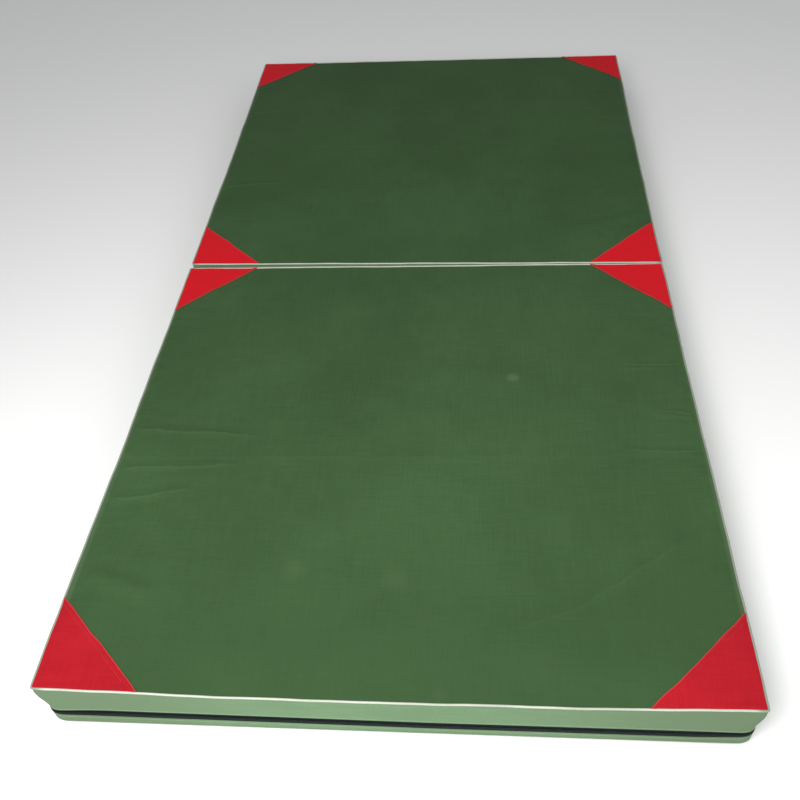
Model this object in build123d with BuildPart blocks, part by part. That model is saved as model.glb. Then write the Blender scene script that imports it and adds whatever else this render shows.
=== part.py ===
# Folding gym mat: two foam panels in zipped canvas covers, sewn together along one top edge.
#
# Origin: on the floor, at the middle of the unfolded mat. +X runs across the mat, +Y runs from
# the near panel to the far panel and +Z is up. The cloth hinge lies along X at Y = 0.
from build123d import *
import os

# Overall sizes, in millimetres
mat_length = 2000.0        # unfolded, from end wall to end wall
mat_width = 1000.0
thickness = 100.0          # from the floor to the top cloth
hinge_gap = 10.0           # between the facing walls of the two panels

# Cover
cloth = 1.0                # coated canvas
corner_radius = 20.0       # the upright corners of a panel
bottom_radius = 10.0       # the lower edge, which has no seam cord
patch_leg = 150.0          # each short side of a triangular corner patch
patch_cloth = 0.8
piping_radius = 2.0
piping_inset = 0.5         # from the cover's outer faces to the middle of the piping

# Foam inside each cover
top_foam = 20.0            # firm sheet under the top cloth
foam_play = 0.3            # between the foam and the inner plate of the zip slider

# Cloth hinge between the panels
strip_flange = 15.0        # height sewn to each facing wall

# Zip round three sides of each panel
zip_height = 33.0          # from the floor to the middle of the zip
zip_gap = 13.0             # opening between the upper and the lower band
zip_plain = 155.0          # stretch by the hinge that has no zip
tape = 0.8
tape_height = 15.0
tape_tail = 15.0           # tape sewn in behind the hinge wall
coil_row = 2.6             # height of one row of teeth
coil_slot = 1.0            # between the two rows
coil_proud = 0.8           # teeth outside the face of the cover
coil_margin = 9.0          # from the end of the teeth to the end of the zip
stop_length = 3.0
stop_proud = 1.3

# Zip slider and its pull tab
slider_length = 11.0
slider_plate = 0.8
slider_corner = 2.0
slider_rail = 1.2          # rail that keeps the teeth under the outer plate
running_gap = 0.1          # between the slider and the tape or teeth that it runs on
stop_gap = 0.5             # between the closed slider and its stops
web_length = 4.0
pin_radius = 0.5
pin_gap = 0.1              # between the pin and the bore of the tab
barrel_radius = 1.0
barrel_width = 3.0
lug = 0.9                  # thickness of the two lugs that hold the pin
lug_gap = 0.15
tab_length = 28.0          # from the pin to the free end
tab_width = 6.5
tab_neck = 3.2             # from the pin to where the tab widens
tab_plate = 0.8
tab_corner = 1.5
tab_hole_radius = 1.6

# Values that follow from the sizes above
panel_length = (mat_length - hinge_gap) / 2
panel_centre = (panel_length + hinge_gap) / 2
piping_height = thickness - piping_inset
zip_top = zip_height + zip_gap / 2
zip_bottom = zip_height - zip_gap / 2
zip_end = panel_length / 2 - zip_plain
coil_end = zip_end - coil_margin
row_centre = (coil_slot + coil_row) / 2
inner_face = cloth + tape + running_gap
outer_face = coil_proud + running_gap
foam_inset = inner_face + slider_plate + foam_play
rail_inner = coil_slot / 2 + coil_row + running_gap
slider_width = 2 * (rail_inner + slider_rail)
slider_centre = coil_end - stop_gap - slider_length / 2
pin_height = outer_face + slider_plate + barrel_radius + running_gap
lug_inner = barrel_width / 2 + lug_gap
strip_top = thickness - piping_inset - piping_radius


def outline(inset, mode=Mode.ADD):
    """Draw the plan of a panel, inset from the outer face of its cover."""
    RectangleRounded(
        mat_width - 2 * inset,
        panel_length - 2 * inset,
        corner_radius - inset,
        mode=mode,
    )


def beyond(start, mode=Mode.SUBTRACT):
    """Draw all of a panel's plan that lies on the hinge side of a line across it."""
    with Locations((0, start)):
        Rectangle(2 * mat_width, panel_length, align=(Align.CENTER, Align.MIN), mode=mode)


def on_wall(base, side, along):
    """Give the plane on a long wall's outer face, at the zip's height, facing outwards."""
    spot = Plane(
        origin=(side * mat_width / 2, along, zip_height),
        x_dir=(0, 1, 0),
        z_dir=(side, 0, 0),
    )
    return Plane(base.location * spot.location)


def write(name, piece):
    """Label a finished piece and write it to its own file."""
    piece.part.label = name
    export_step(piece.part, f"parts/{name}.step")


def make_cover(panel, base, turn):
    """Make one panel's cover: top, patches, piping, bands, hinge wall and bottom."""
    half_width = mat_width / 2 - piping_inset
    half_length = panel_length / 2 - piping_inset
    with BuildPart() as piping:
        with BuildLine(base.offset(piping_height)) as seam:
            FilletPolyline(
                (-half_width, -half_length),
                (half_width, -half_length),
                (half_width, half_length),
                (-half_width, half_length),
                radius=corner_radius - piping_inset,
                close=True,
            )
        with BuildSketch(Plane(origin=seam.line @ 0, z_dir=seam.line % 0)):
            Circle(piping_radius)
        sweep(path=seam.line)
    write(f"{panel}_piping", piping)

    with BuildPart() as top_sheet:
        with BuildSketch(base.offset(thickness - cloth)):
            outline(piping_inset)
        extrude(amount=cloth)
        add(piping.part, mode=Mode.SUBTRACT)
    write(f"{panel}_top_sheet", top_sheet)

    for row, y_side in (("end", -1), ("hinge", 1)):
        for x_side in (-1, 1):
            column = "left" if x_side * turn < 0 else "right"
            x = x_side * mat_width / 2
            y = y_side * panel_length / 2
            with BuildPart() as patch:
                with BuildSketch(base.offset(thickness)):
                    outline(piping_inset)
                    Polygon(
                        (x, y),
                        (x - x_side * patch_leg, y),
                        (x, y - y_side * patch_leg),
                        align=None,
                        mode=Mode.INTERSECT,
                    )
                extrude(amount=patch_cloth)
                add(piping.part, mode=Mode.SUBTRACT)
            write(f"{panel}_patch_{row}_{column}", patch)

    with BuildPart() as upper_band:
        with BuildSketch(base.offset(zip_top)):
            outline(0)
            outline(cloth, mode=Mode.SUBTRACT)
            beyond(zip_end)
        extrude(amount=piping_height - zip_top)
        add(piping.part, mode=Mode.SUBTRACT)
    write(f"{panel}_upper_band", upper_band)

    with BuildPart() as lower_band:
        with BuildSketch(base):
            outline(0)
        extrude(amount=zip_bottom)
        fillet(lower_band.faces().sort_by(Axis.Z)[0].edges(), radius=bottom_radius)
        offset(amount=-cloth, openings=lower_band.faces().sort_by(Axis.Z)[-1])
        with BuildSketch(base):
            outline(bottom_radius)
            beyond(zip_end, mode=Mode.ADD)
        extrude(amount=zip_bottom, mode=Mode.SUBTRACT)
    write(f"{panel}_lower_band", lower_band)

    with BuildPart() as hinge_wall:
        with BuildSketch(base):
            outline(0)
        extrude(amount=piping_height)
        fillet(hinge_wall.faces().sort_by(Axis.Z)[0].edges(), radius=bottom_radius)
        offset(amount=-cloth, openings=hinge_wall.faces().sort_by(Axis.Z)[-1])
        with BuildSketch(base):
            outline(bottom_radius)
        extrude(amount=piping_height, mode=Mode.SUBTRACT)
        with BuildSketch(base):
            beyond(zip_end, mode=Mode.ADD)
        extrude(amount=piping_height, mode=Mode.INTERSECT)
        add(piping.part, mode=Mode.SUBTRACT)
    write(f"{panel}_hinge_wall", hinge_wall)

    with BuildPart() as bottom_sheet:
        with BuildSketch(base):
            outline(bottom_radius)
        extrude(amount=cloth)
    write(f"{panel}_bottom_sheet", bottom_sheet)


def make_foam(panel, base):
    """Make one panel's filling: a soft block with a firm sheet glued on top of it."""
    with BuildPart() as foam_block:
        with BuildSketch(base.offset(cloth)):
            outline(foam_inset)
        extrude(amount=thickness - 2 * cloth - top_foam)
        fillet(foam_block.faces().sort_by(Axis.Z)[0].edges(), radius=bottom_radius)
    write(f"{panel}_foam_block", foam_block)

    with BuildPart() as foam_sheet:
        with BuildSketch(base.offset(thickness - cloth)):
            outline(foam_inset)
        extrude(amount=-top_foam)
    write(f"{panel}_foam_sheet", foam_sheet)


def make_zip(panel, base):
    """Make one panel's zip: two tapes, two rows of teeth and the stops at both ends."""
    for row, side in (("upper", 1), ("lower", -1)):
        row_edge = base.offset(zip_height + side * coil_slot / 2)
        with BuildPart() as zip_tape:
            with BuildSketch(row_edge):
                outline(cloth)
                outline(cloth + tape, mode=Mode.SUBTRACT)
                beyond(zip_end + tape_tail)
            extrude(amount=side * tape_height)
        write(f"{panel}_zip_tape_{row}", zip_tape)

        with BuildPart() as teeth:
            with BuildSketch(row_edge):
                outline(-coil_proud)
                outline(cloth, mode=Mode.SUBTRACT)
                beyond(coil_end)
            extrude(amount=side * coil_row)
        write(f"{panel}_zip_teeth_{row}", teeth)

    with BuildPart() as stops:
        with BuildSketch(on_wall(base, -1, coil_end).offset(-cloth)):
            with Locations((stop_length / 2, row_centre), (stop_length / 2, -row_centre)):
                Rectangle(stop_length, coil_row)
        extrude(amount=cloth + stop_proud)
        with BuildSketch(on_wall(base, 1, coil_end).offset(-cloth)):
            with Locations((stop_length / 2, 0)):
                Rectangle(stop_length, coil_slot + 2 * coil_row)
        extrude(amount=cloth + stop_proud)
    write(f"{panel}_zip_stops", stops)


def make_slider(panel, base):
    """Make the zip's slider, closed against its stops, and the pull tab on its pin."""
    seat = on_wall(base, -1, slider_centre)
    pin = Plane(seat.offset(pin_height).location * Plane.XZ.location)
    rail_centre = rail_inner + slider_rail / 2
    lug_centre = lug_inner + lug / 2
    with BuildPart() as slider:
        with BuildSketch(seat.offset(-inner_face - slider_plate), seat.offset(outer_face)):
            RectangleRounded(slider_length, slider_width, slider_corner)
        extrude(amount=slider_plate)
        with BuildSketch(seat.offset(running_gap - cloth)):
            with Locations((0, rail_centre), (0, -rail_centre)):
                Rectangle(slider_length - 2 * slider_corner, slider_rail)
        extrude(amount=outer_face + cloth - running_gap)
        with BuildSketch(seat.offset(-inner_face)):
            RectangleRounded(web_length, coil_slot - 2 * running_gap, coil_slot / 4)
        extrude(amount=inner_face + outer_face)
        with BuildSketch(seat.offset(outer_face + slider_plate)):
            with Locations((0, lug_centre), (0, -lug_centre)):
                Rectangle(2 * barrel_radius, lug)
        extrude(amount=barrel_radius + running_gap + pin_radius)
        with BuildSketch(pin):
            Circle(pin_radius)
        extrude(amount=lug_inner + lug / 2, both=True)
    write(f"{panel}_zip_slider", slider)

    with BuildPart() as pull_tab:
        with BuildSketch(seat.offset(pin_height - tab_plate / 2)):
            with Locations((tab_neck, 0)):
                RectangleRounded(
                    tab_length - tab_neck,
                    tab_width,
                    tab_corner,
                    align=(Align.MIN, Align.CENTER),
                )
            with Locations((0, 0)):
                Rectangle(tab_neck + tab_corner, barrel_width, align=(Align.MIN, Align.CENTER))
            with Locations((tab_length - tab_width / 2, 0)):
                Circle(tab_hole_radius, mode=Mode.SUBTRACT)
        extrude(amount=tab_plate)
        with BuildSketch(pin):
            Circle(barrel_radius)
        extrude(amount=barrel_width / 2, both=True)
        with BuildSketch(pin):
            Circle(pin_radius + pin_gap)
        extrude(amount=barrel_width / 2, both=True, mode=Mode.SUBTRACT)
    write(f"{panel}_zip_pull_tab", pull_tab)


def make_hinge():
    """Make the cloth hinge: a bridge between the panels, with a flange on each facing wall."""
    strip_length = mat_width - 2 * corner_radius
    with BuildPart() as hinge_strip:
        with BuildSketch(Plane.YZ.offset(-strip_length / 2)):
            with Locations((0, strip_top)):
                Rectangle(hinge_gap, cloth + strip_flange, align=(Align.CENTER, Align.MAX))
            with Locations((0, strip_top - cloth)):
                Rectangle(
                    hinge_gap - 2 * cloth,
                    strip_flange,
                    align=(Align.CENTER, Align.MAX),
                    mode=Mode.SUBTRACT,
                )
        extrude(amount=strip_length)
    write("hinge_strip", hinge_strip)


os.makedirs("parts", exist_ok=True)
for panel, turn in (("near", 1), ("far", -1)):
    # The two panels are the same, and the far one is turned half round about Z.
    base = Plane(origin=(0, -turn * panel_centre, 0), x_dir=(turn, 0, 0), z_dir=(0, 0, 1))
    make_cover(panel, base, turn)
    make_foam(panel, base)
    make_zip(panel, base)
    make_slider(panel, base)
make_hinge()
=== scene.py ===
# %% [markdown]
# # A folding gym mat
#
# The mat is two foam panels in zipped canvas covers. A strip of cloth joins the panels along one
# top edge, so one panel folds up and over the other. The frame below comes from the CAD model
# and is fixed: it says where every piece is, how thick it is and what it moves with. This script
# gives each piece its looks: cloth that is crowned and puckered, piping, stitching, zip teeth and
# the finishes. All sizes are in metres, unless a name ends in _mm.

import math

import bpy
import numpy as np
from mathutils import Matrix, Vector


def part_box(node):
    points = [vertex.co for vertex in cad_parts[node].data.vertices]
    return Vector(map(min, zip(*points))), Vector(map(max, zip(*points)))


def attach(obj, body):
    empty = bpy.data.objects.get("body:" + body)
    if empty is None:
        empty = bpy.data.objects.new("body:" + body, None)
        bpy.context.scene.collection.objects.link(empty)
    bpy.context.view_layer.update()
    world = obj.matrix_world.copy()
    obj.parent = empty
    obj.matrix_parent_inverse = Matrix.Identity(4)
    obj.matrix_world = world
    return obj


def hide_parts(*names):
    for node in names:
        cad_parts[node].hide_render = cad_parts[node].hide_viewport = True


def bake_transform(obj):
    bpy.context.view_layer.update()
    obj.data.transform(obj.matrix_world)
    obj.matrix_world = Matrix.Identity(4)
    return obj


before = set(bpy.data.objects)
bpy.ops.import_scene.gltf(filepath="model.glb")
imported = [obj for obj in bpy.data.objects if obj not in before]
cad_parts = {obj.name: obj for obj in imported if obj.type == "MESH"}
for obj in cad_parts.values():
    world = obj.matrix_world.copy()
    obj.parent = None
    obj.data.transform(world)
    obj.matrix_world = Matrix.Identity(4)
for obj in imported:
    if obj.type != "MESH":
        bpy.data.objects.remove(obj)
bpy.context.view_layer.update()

# %% [markdown]
# ## Camera
#
# The camera comes first, because every later choice is judged through it. It stands at the mat's
# near end, a little right of the middle, looks down at about 44 degrees below the horizon and is
# rolled a few degrees. A matrix made of three turns says that more plainly than Euler angles do.

# %% Place the camera
camera_place = Vector((0.1207, -1.6394, 1.275))
camera_turn_deg = {"heading": 6.6, "tilt": 46.4, "roll": -4.3}
camera_lens_mm = 42.57

camera_data = bpy.data.cameras.new("camera")
camera_data.lens = camera_lens_mm
camera_data.clip_start = 0.01
camera = bpy.data.objects.new("camera", camera_data)
bpy.context.collection.objects.link(camera)
camera.matrix_world = (
    Matrix.Translation(camera_place)
    @ Matrix.Rotation(math.radians(camera_turn_deg["heading"]), 4, "Z")
    @ Matrix.Rotation(math.radians(camera_turn_deg["tilt"]), 4, "X")
    @ Matrix.Rotation(math.radians(camera_turn_deg["roll"]), 4, "Z")
)
bpy.context.scene.camera = camera
bpy.context.scene.view_settings.view_transform = "Standard"
print("camera", tuple(round(v, 3) for v in camera.location), "lens", camera_lens_mm, "mm")

# %% [markdown]
# Small helpers come next. An operator works on whatever is selected, so each step says first
# what it is working on. New nodes are added by one function that takes their settings and links.

# %% Helpers for selecting, cutting and finishing
def only(*pieces):
    """Select just these pieces, with the last one active."""
    if bpy.context.mode != "OBJECT":
        bpy.ops.object.mode_set(mode="OBJECT")
    bpy.ops.object.select_all(action="DESELECT")
    for piece in pieces:
        piece.select_set(True)
    bpy.context.view_layer.objects.active = pieces[-1]


def pick(piece, kind, wanted):
    """Enter edit mode with just the wanted vertices, edges or faces of a piece selected."""
    only(piece)
    mesh = piece.data
    for part in (mesh.vertices, mesh.edges, mesh.polygons):
        part.foreach_set("select", np.zeros(len(part), bool))
    part = {"VERT": mesh.vertices, "EDGE": mesh.edges, "FACE": mesh.polygons}[kind]
    part.foreach_set("select", wanted)
    bpy.context.tool_settings.mesh_select_mode = [kind == k for k in ("VERT", "EDGE", "FACE")]
    bpy.ops.object.mode_set(mode="EDIT")


def settle(piece):
    """Put a piece's place into its mesh, so that its object sits at the origin."""
    only(piece)
    bpy.ops.object.transform_apply(location=True, rotation=True, scale=True)


def finish_modifiers(piece):
    """Apply every modifier on a piece, from the first to the last."""
    only(piece)
    for modifier in list(piece.modifiers):
        bpy.ops.object.modifier_apply(modifier=modifier.name)


def points_of(piece):
    """A piece's vertices as an array of rows."""
    rows = np.zeros(len(piece.data.vertices) * 3)
    piece.data.vertices.foreach_get("co", rows)
    return rows.reshape(-1, 3)


def move_points(piece, rows):
    """Put a piece's vertices at new places."""
    piece.data.vertices.foreach_set("co", rows.ravel())
    piece.data.update()


def attribute_of(piece, name):
    """A piece's vector attribute as an array of rows."""
    rows = np.zeros(len(piece.data.vertices) * 3)
    piece.data.attributes[name].data.foreach_get("vector", rows)
    return rows.reshape(-1, 3)


def write_attribute(piece, name, rows):
    """Write a vector attribute on a piece's vertices."""
    mesh = piece.data
    attribute = mesh.attributes.get(name) or mesh.attributes.new(name, "FLOAT_VECTOR", "POINT")
    attribute.data.foreach_set("vector", rows.astype(np.float32).ravel())


def face_centres(piece, rows):
    """The middle of each face, from a value on each vertex."""
    mesh = piece.data
    corners = np.zeros(len(mesh.loops), int)
    starts = np.zeros(len(mesh.polygons), int)
    counts = np.zeros(len(mesh.polygons), int)
    mesh.loops.foreach_get("vertex_index", corners)
    mesh.polygons.foreach_get("loop_start", starts)
    mesh.polygons.foreach_get("loop_total", counts)
    return np.add.reduceat(rows[corners], starts) / counts[:, None]


def edge_ends(piece):
    """The two vertex numbers of each edge."""
    ends = np.zeros(len(piece.data.edges) * 2, int)
    piece.data.edges.foreach_get("vertices", ends)
    return ends.reshape(-1, 2)


def ease(value, start, end):
    """Rise smoothly from 0 at start to 1 at end."""
    share = np.clip((value - start) / (end - start), 0, 1)
    return share * share * (3 - 2 * share)


def copy_of(source, name):
    """A copy of a piece with its own mesh."""
    only(source)
    bpy.ops.object.duplicate()
    piece = bpy.context.object
    piece.name = name
    piece.data.name = name
    return piece


def cut_out(source, name, keep):
    """Copy a piece and keep only the faces whose cut pattern place passes a test."""
    piece = copy_of(source, name)
    centres = face_centres(piece, attribute_of(piece, "cut"))
    pick(piece, "FACE", ~keep(centres))
    bpy.ops.mesh.delete(type="FACE")
    bpy.ops.object.mode_set(mode="OBJECT")
    return piece


# %% [markdown]
# ## The shape of one panel
#
# The real cover is sewn from flat cuts of cloth round a block of foam, and zipped shut. The model
# is built the same way round: first one closed form for the whole panel, which is shaped and
# simulated as a filled pad, and then cut along its seams into the cloths of the cover. Pieces cut
# from one form meet exactly along their seams, however it has puckered.
#
# The form starts as a grid on the floor. Its side grows by extruding and scaling, one row of
# faces for each height that matters: the turned bottom edge, the zip's two hems with their rows
# of stitches, the middle of the zip, and the top seam.

# %% Read a panel's sizes from the frame
HINGE_SIDE = {"near": 1, "far": -1}     # the way to the hinge along Y, seen from each panel
CELLS = 100                             # faces across a panel, each about a centimetre


def panel_box(panel):
    """The lowest and highest corner of a panel's side walls."""
    band_low, band_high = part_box(f"{panel}_upper_band")
    wall_low, wall_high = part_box(f"{panel}_hinge_wall")
    low = Vector(map(min, band_low, wall_low))
    high = Vector(map(max, band_high, wall_high))
    return low, high


piping_low, piping_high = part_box("near_piping")
wall_low, wall_high = panel_box("near")
half_width = wall_high.x
half_length = (wall_high.y - wall_low.y) / 2
seam_height = (piping_low.z + piping_high.z) / 2
piping_radius = (piping_high.z - piping_low.z) / 2
seam_inset = half_width - (piping_high.x - piping_radius)
bottom_radius = half_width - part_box("near_bottom_sheet")[1].x
zip_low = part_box("near_lower_band")[1].z
zip_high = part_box("near_upper_band")[0].z
zip_middle = (zip_low + zip_high) / 2
zip_reach = abs(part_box("near_upper_band")[1].y)     # from the hinge to where the zip ends
stitch_inset = 0.0032                               # from a hem's edge to its row of stitches
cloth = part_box("near_bottom_sheet")[1].z
print("panel half size", round(half_width, 4), round(half_length, 4), "seam at", round(seam_height, 4))
print("zip from", round(zip_low, 4), "to", round(zip_high, 4), "and", round(zip_reach, 4), "from the hinge")


# %% Build the closed form
tape_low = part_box("near_zip_tape_lower")[0].z
tape_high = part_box("near_zip_tape_upper")[1].z
row_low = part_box("near_zip_tape_lower")[1].z        # the two tapes' inner edges
row_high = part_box("near_zip_tape_upper")[0].z
teeth_reach = abs(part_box("near_zip_teeth_lower")[1].y)
panel_middle = -(wall_low.y + wall_high.y) / 2


def side_rows():
    """The height of each row of the side, and how far it stands in from the wall."""
    rows = []
    for share in (0.0, 0.3, 1.0):
        drop = bottom_radius * (1 - share)
        rows.append((share * bottom_radius, bottom_radius - math.sqrt(bottom_radius**2 - drop**2)))
    heights = [tape_low, zip_low - stitch_inset, zip_low, row_low, row_high, zip_high]
    heights += [zip_high + stitch_inset, tape_high, 0.058, 0.068, 0.078, 0.089]
    rows += [(height, 0.0) for height in heights]
    rows.append((seam_height, seam_inset))
    return rows


edge_lines = (0.004, 0.011, 0.0195, 0.028, 0.040, 0.054)


def gather_lines(grid):
    """Move the outer lines of the grid nearer to its edges, where the corners need them."""
    rows = points_of(grid)
    even = np.arange(len(edge_lines) + 2) / CELLS
    for axis, size in ((0, 2 * half_width), (1, 2 * half_length)):
        gathered = [0.0, *(line / size for line in edge_lines), even[-1]]
        from_edge = 0.5 - np.abs(rows[:, axis])
        near_edge = from_edge < even[-1]
        placed = np.sign(rows[:, axis]) * (0.5 - np.interp(from_edge, even, gathered))
        rows[near_edge, axis] = placed[near_edge]
    move_points(grid, rows)


def make_form(panel):
    """Grow the closed form of a panel from a grid on the floor."""
    centre = (0, -HINGE_SIDE[panel] * panel_middle, 0)
    bpy.ops.object.select_all(action="DESELECT")
    bpy.ops.mesh.primitive_grid_add(
        x_subdivisions=CELLS, y_subdivisions=CELLS, size=1, location=centre
    )
    form = bpy.context.object
    form.name = f"{panel}_form"
    gather_lines(form)
    bpy.ops.object.mode_set(mode="EDIT")
    bpy.ops.mesh.select_all(action="SELECT")
    width, length, last_height = 0.5, 0.5, 0.0
    for height, inset in side_rows():
        if height > 0:
            lift = (0, 0, height - last_height)
            bpy.ops.mesh.extrude_region_move(TRANSFORM_OT_translate={"value": lift})
        next_width = half_width - inset
        next_length = half_length - inset
        growth = (next_width / width, next_length / length, 1)
        bpy.ops.transform.resize(value=growth, center_override=centre)
        width, length, last_height = next_width, next_length, height
    bpy.ops.mesh.select_all(action="SELECT")
    bpy.ops.mesh.normals_make_consistent(inside=False)
    bpy.ops.object.mode_set(mode="OBJECT")
    settle(form)

    # Two rows across the panel are moved onto the places where the zip and its teeth end.
    rows = points_of(form)
    cell = 2 * half_length / CELLS
    for reach in (teeth_reach, zip_reach):
        beside = np.abs(np.abs(rows[:, 1]) - reach) < cell / 2
        rows[beside, 1] = -HINGE_SIDE[panel] * reach
    move_points(form, rows)
    write_attribute(form, "cut", rows)
    print(form.name, len(form.data.polygons), "faces")
    return form


forms = {panel: make_form(panel) for panel in HINGE_SIDE}

# %% [markdown]
# ## Filling the panel
#
# Foam presses the cover outwards, while the seams hold it in, and the cloth is a little longer
# than the foam where it is gathered along the long seams. A cloth simulation shows what that does:
# soft puckers that run in from the piping. The seams, the zip and the underside are held; the top
# is held weakly, because foam backs it. Gravity is off, and a light pressure stands for the foam.
# The simulation only says how each point moves, so the moves are kept short afterwards.

# %% Simulate the filled cover
SIM_FRAMES = 20
longest_move = 0.0022


def distances(rows):
    """How far each point is from the side walls, the end wall and the hinge wall."""
    from_side = half_width - np.abs(rows[:, 0])
    from_end = panel_middle + half_length - np.abs(rows[:, 1])
    from_hinge = np.abs(rows[:, 1]) - (panel_middle - half_length)
    return from_side, from_end, from_hinge


def hold_and_slacken(form):
    """Say how firmly each point is held, and where the cloth has length to spare."""
    rows = points_of(form)
    from_side, from_end, from_hinge = distances(rows)
    from_edge = np.minimum(from_side, np.minimum(from_end, from_hinge))
    height = rows[:, 2]
    on_top = height > seam_height - 1e-4
    held = np.where(on_top, 0.35, 0.3)
    held[on_top & (from_edge < 0.002)] = 1
    held[height < tape_high + 1e-4] = 1
    held[(from_hinge < 0.001) & ~on_top] = 1
    slack = np.where(on_top, np.clip(from_side / 0.15, 0, 1), 1.0)
    for name, weights in (("held", held), ("slack", slack)):
        group = form.vertex_groups.new(name=name)
        for weight in np.unique(weights):
            members = np.flatnonzero(weights == weight).tolist()
            group.add(members, float(weight), "REPLACE")


def fill_form(form):
    """Run the cloth simulation on a form, and keep how far its points moved."""
    hold_and_slacken(form)
    start = points_of(form)
    modifier = form.modifiers.new("filling", "CLOTH")
    cover = modifier.settings
    cover.quality = 5
    cover.mass = 0.3
    cover.tension_stiffness = 15
    cover.compression_stiffness = 15
    cover.shear_stiffness = 5
    cover.bending_stiffness = 0.5
    cover.use_pressure = True
    cover.uniform_pressure_force = 1
    cover.vertex_group_mass = "held"
    cover.pin_stiffness = 1
    cover.vertex_group_shrink = "slack"
    cover.shrink_max = 0.0
    cover.shrink_min = -0.01
    cover.effector_weights.gravity = 0
    modifier.collision_settings.use_collision = False
    for step in range(1, SIM_FRAMES + 1):
        bpy.context.scene.frame_set(step)
    finish_modifiers(form)
    move = points_of(form) - start
    length = np.linalg.norm(move, axis=1, keepdims=True)
    move *= np.minimum(1, longest_move / np.maximum(length, 1e-9))
    bpy.context.scene.frame_set(1)
    form.vertex_groups.clear()
    print(form.name, "moved up to", round(float(length.max()) * 1000, 2), "mm, kept", longest_move * 1000)
    return start, move


rest_points, fill_moves = {}, {}
for panel, form in forms.items():
    rest_points[panel], fill_moves[panel] = fill_form(form)

# %% [markdown]
# ## Use and wear
#
# A mat that has been folded and stored is never quite square. Its ends bow out, its hinge seams
# draw together on one side, the zip wanders up and down on the end wall and the top keeps the
# creases of its packing. Each of these is a small move that fades away from where it acts. They
# are written as moves of the unworn form, so one function serves every piece.

# %% Shape the worn panel
seam_seed = {"near": 1.0, "far": 4.0}
lower_corner_radius = 0.019
seam_corner_radius = 0.002
hinge_gap_left, hinge_gap_right = 0.0020, -0.0026   # back from the hinge, and towards it
hinge_draw_in = {-1: 0.0010, 1: 0.0030}      # on the left and on the right
end_spread = {-1: 0.0038, 1: 0.0022}
end_bow = {"near": 0.0030, "far": 0.0012}
end_dip = {"near": 0.0040, "far": 0.0010}
zip_wander = {"near": (0.0040, -0.0030, -0.0020), "far": (-0.0010, 0.0020, 0.0)}
zip_gape = {"near": 0.0023, "far": 0.0008}
crown = 0.0012


def waves(along, seed, size):
    """A smooth uneven line, from five sines of lengths that never fall in step."""
    total = np.zeros_like(along)
    for order, length in enumerate((0.43, 0.27, 0.161, 0.097, 0.061)):
        total += np.sin(along * 2 * math.pi / length + seed * (order + 1) * 1.7) * 0.75**order
    return total / 3.05 * size


def round_corners(rows, height, middle):
    """Turn the form's square corners into round ones, tighter towards the top seam."""
    levels, insets = zip(*side_rows())
    inset = np.interp(height, levels, insets)
    tighter = (seam_corner_radius - lower_corner_radius) * ease(height, 0.042, 0.088)
    radius = lower_corner_radius + tighter
    radius = radius - np.where(height < bottom_radius, inset, 0)
    across = (np.abs(rows[:, 0]) - (half_width - inset - radius)) / radius
    along = (np.abs(rows[:, 1] - middle) - (half_length - inset - radius)) / radius
    corner = (across > 0) & (along > 0)
    share = np.ones(len(rows))
    share[corner] = np.maximum(across, along)[corner] / np.hypot(across, along)[corner]
    rows[:, 0] -= np.where(corner, np.sign(rows[:, 0]) * radius * across * (1 - share), 0)
    rows[:, 1] -= np.where(corner, np.sign(rows[:, 1] - middle) * radius * along * (1 - share), 0)
    return rows


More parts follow.
